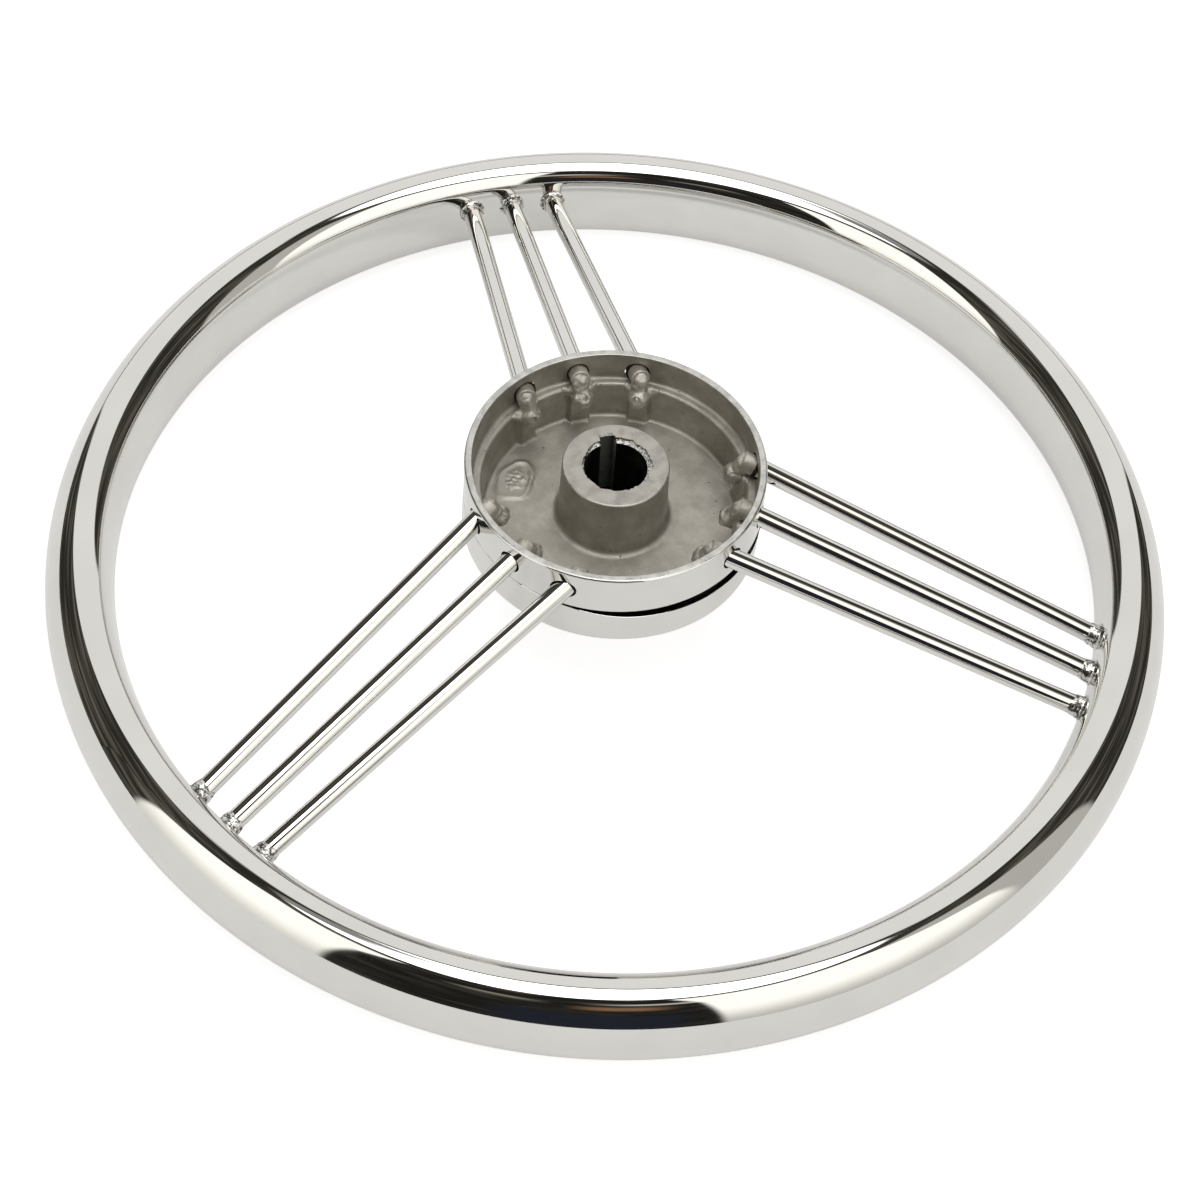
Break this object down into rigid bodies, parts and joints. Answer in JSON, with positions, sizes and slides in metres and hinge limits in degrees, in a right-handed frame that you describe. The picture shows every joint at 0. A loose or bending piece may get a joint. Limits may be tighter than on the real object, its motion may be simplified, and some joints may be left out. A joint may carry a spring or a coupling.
{
  "type": "boat steering wheel",
  "caption": "Polished stainless boat steering wheel with an oval tube rim, round rod spokes in groups and a dished cup hub with a tapered keyed bore.",
  "frame": {"origin": "on the wheel's axis, in the plane that the rim's front lies on", "axes": "+Z along the axis towards the back, where the helm's shaft enters; +Y along the keyway and the middle rod of the first spoke group; +X to the right seen from the back"},
  "size_m": [0.343, 0.3428, 0.0606],
  "materials": {
    "polished_steel": "mirror-polished stainless tube",
    "polished_rod": "mirror-polished stainless bar",
    "pressed_steel": "mirror-polished stainless sheet",
    "cast_steel": "stainless casting, blasted inside, turned on its top faces and polished outside",
    "weld_steel": "stainless weld bead, brushed clean",
    "seal_rubber": "black rubber"
  },
  "bodies": {
    "root": {"rim": "polished_steel", "spoke_rod_top_a": "polished_rod", "spoke_rod_top_b": "polished_rod", "spoke_rod_top_c": "polished_rod", "spoke_rod_left_a": "polished_rod", "spoke_rod_left_b": "polished_rod", "spoke_rod_left_c": "polished_rod", "spoke_rod_right_a": "polished_rod", "spoke_rod_right_b": "polished_rod", "spoke_rod_right_c": "polished_rod", "hub_casting": "cast_steel", "hub_cover": "pressed_steel", "cover_seal_ring": "seal_rubber", "rim_weld_top_a": "weld_steel", "rim_weld_top_b": "weld_steel", "rim_weld_top_c": "weld_steel", "rim_weld_left_a": "weld_steel", "rim_weld_left_b": "weld_steel", "rim_weld_left_c": "weld_steel", "rim_weld_right_a": "weld_steel", "rim_weld_right_b": "weld_steel", "rim_weld_right_c": "weld_steel", "hub_weld_top_a": "weld_steel", "hub_weld_top_b": "weld_steel", "hub_weld_top_c": "weld_steel", "hub_weld_left_a": "weld_steel", "hub_weld_left_b": "weld_steel", "hub_weld_left_c": "weld_steel", "hub_weld_right_a": "weld_steel", "hub_weld_right_b": "weld_steel", "hub_weld_right_c": "weld_steel"}
  },
  "joints": []
}
